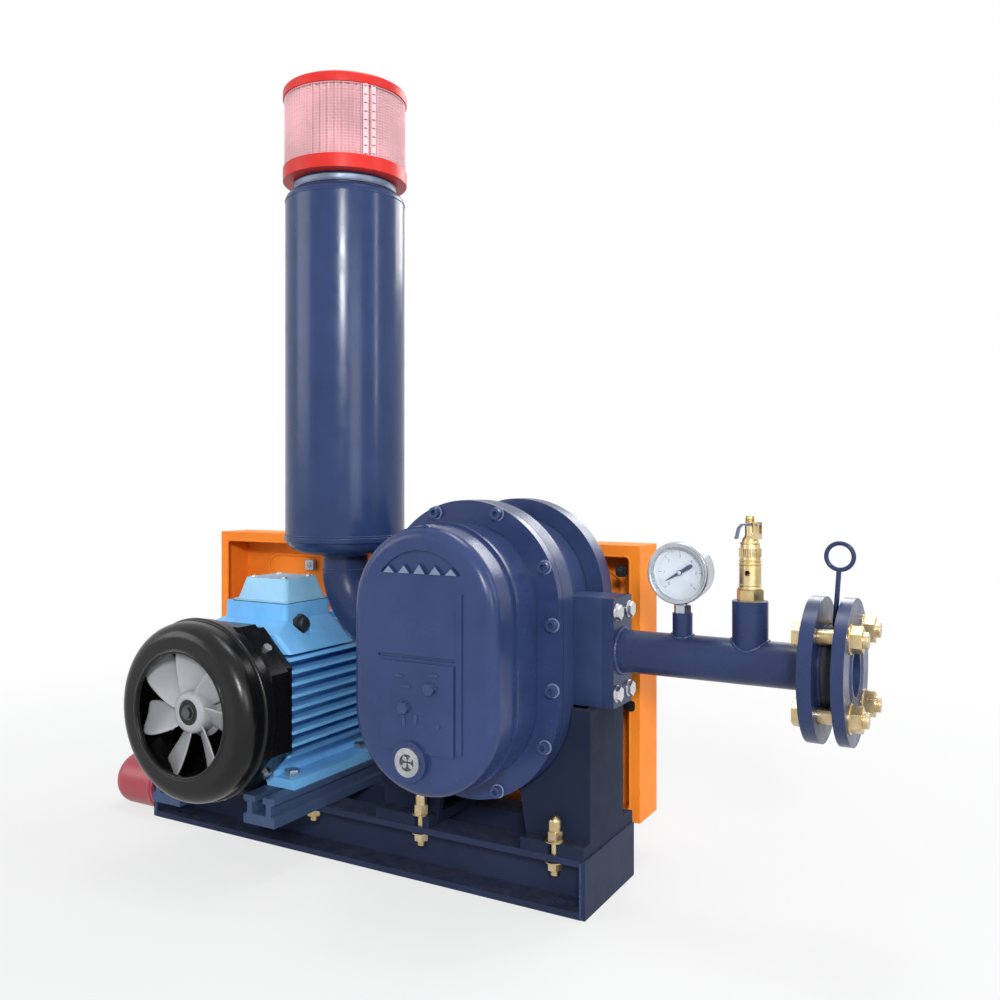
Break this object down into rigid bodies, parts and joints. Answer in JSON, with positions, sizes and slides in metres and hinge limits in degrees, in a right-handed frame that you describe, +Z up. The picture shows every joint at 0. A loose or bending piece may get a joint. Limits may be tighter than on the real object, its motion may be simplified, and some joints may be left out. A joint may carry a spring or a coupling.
{
  "type": "air blower",
  "caption": "Belt-driven twin-lobe air blower on a channel base, with motor, belt guard, tall intake silencer with filter, outlet pipe, pressure gauge, relief valve and flanged check valve.",
  "frame": {"origin": "centre of the foundation bolt holes, on the floor", "axes": "+X along the base from the motor to the outlet, +Y to the back where the belts run, +Z up"},
  "size_m": [1.0543, 0.375, 1.0032],
  "materials": {
    "navy_base": "satin enamel",
    "cap_red": "smooth",
    "motor_blue": "satin enamel",
    "lid_blue": "satin enamel",
    "cowl_black": "semi-gloss",
    "gland_grey": "moulded",
    "windings": "varnished copper and laminations",
    "bearing_steel": "ground",
    "motor_fixings": "zinc plated",
    "cover_navy": "gloss enamel over casting",
    "blower_navy": "gloss enamel over casting",
    "seal_rubber": "moulded",
    "sight_steel": "turned",
    "plug_navy": "enamel",
    "blower_fixings": "zinc plated",
    "base_fixings": "yellow passivated",
    "pipe_navy": "gloss enamel",
    "tower_navy": "gloss enamel",
    "core_steel": "perforated tube",
    "filter_pink": "pleated paper behind mesh",
    "filter_red": "moulded",
    "valve_grey": "machined",
    "flap_steel": "turned",
    "gauge_steel": "polished",
    "dial_white": "printed dial",
    "needle_blue": "enamel",
    "lens_glass": "clear",
    "valve_brass": "turned",
    "spring_steel": "drawn wire",
    "lever_grey": "enamel",
    "guard_orange": "powder coat",
    "belt_rubber": "cloth-wrapped",
    "rotor_iron": "machined",
    "gear_steel": "ground teeth",
    "pulley_iron": "phosphated",
    "shaft_steel": "turned",
    "fan_silver": "cast"
  },
  "bodies": {
    "machine": {"front_channel": "navy_base", "rear_channel": "navy_base", "end_members": "navy_base", "end_cap": "cap_red", "slide_rails": "navy_base", "motor_housing": "motor_blue", "motor_rear_shield": "cowl_black", "motor_front_shield": "motor_blue", "fan_cowl": "cowl_black", "terminal_box": "motor_blue", "terminal_box_lid": "lid_blue", "cable_gland": "gland_grey", "stator_core": "windings", "motor_bearings": "bearing_steel", "motor_bolts": "motor_fixings", "gear_cover": "cover_navy", "gear_plate": "blower_navy", "rotor_casing": "blower_navy", "drive_plate": "blower_navy", "bearing_cover": "blower_navy", "rotor_bearings": "bearing_steel", "shaft_seals": "seal_rubber", "sight_glass": "sight_steel", "cover_screws": "plug_navy", "blower_bolts": "blower_fixings", "blower_legs": "blower_navy", "base_bolts": "base_fixings", "inlet_elbow": "pipe_navy", "silencer_shell": "tower_navy", "silencer_core": "core_steel", "filter_element": "filter_pink", "filter_caps": "filter_red", "outlet_pipe": "pipe_navy", "pipe_flange": "pipe_navy", "valve_body": "valve_grey", "flap_pin": "flap_steel", "valve_eye": "pipe_navy", "end_flange": "pipe_navy", "flange_bolts": "base_fixings", "flange_gaskets": "seal_rubber", "gauge_case": "gauge_steel", "gauge_bezel": "gauge_steel", "gauge_dial": "dial_white", "gauge_lens": "lens_glass", "gauge_nipple": "gauge_steel", "relief_body": "valve_brass", "relief_spring": "spring_steel", "belt_guard": "guard_orange", "v_belts": "belt_rubber"},
    "drive": {"drive_rotor": "rotor_iron", "drive_gear": "gear_steel", "blower_pulley": "pulley_iron"},
    "driven": {"driven_rotor": "rotor_iron", "driven_gear": "gear_steel"},
    "motor_rotor": {"motor_shaft": "shaft_steel", "cooling_fan": "fan_silver"},
    "needle": {"gauge_needle": "needle_blue"},
    "stem": {"relief_stem": "valve_brass"},
    "lever": {"relief_lever": "lever_grey"},
    "flap": {"valve_flap": "flap_steel"}
  },
  "joints": [
    {"name": "drive_spin", "type": "hinge", "parent": "machine", "child": "drive", "pos_m": [0.197, 0, 0.234], "axis": [0, 1, 0], "continuous": true},
    {"name": "driven_spin", "type": "hinge", "parent": "machine", "child": "driven", "pos_m": [0.197, 0, 0.342], "axis": [0, 1, 0], "continuous": true},
    {"name": "motor_spin", "type": "hinge", "parent": "machine", "child": "motor_rotor", "pos_m": [-0.13, 0, 0.2], "axis": [0, 1, 0], "continuous": true},
    {"name": "needle_turn", "type": "hinge", "parent": "machine", "child": "needle", "pos_m": [0.428, -0.02, 0.38115], "axis": [0, 1, 0], "range_deg": [-14, 256]},
    {"name": "stem_lift", "type": "slide", "parent": "machine", "child": "stem", "axis": [0, 0, 1], "range_m": [0, 0.003], "stiffness_N_per_m": 4000, "springref_m": -0.006, "deforming": ["relief_spring"]},
    {"name": "lever_turn", "type": "hinge", "parent": "machine", "child": "lever", "pos_m": [0.511, -0.006, 0.4353], "axis": [0, 1, 0], "range_deg": [0, 17]},
    {"name": "flap_swing", "type": "hinge", "parent": "machine", "child": "flap", "pos_m": [0.5902, -0.006, 0.3075], "axis": [0, -1, 0], "range_deg": [0, 60]}
  ],
  "couplings": [
    {"joint": "driven_spin", "follows": "drive_spin", "ratio": -1},
    {"joint": "motor_spin", "follows": "drive_spin", "ratio": 0.8},
    {"joint": "lever_turn", "follows": "stem_lift", "rad_per_m": 90}
  ]
}
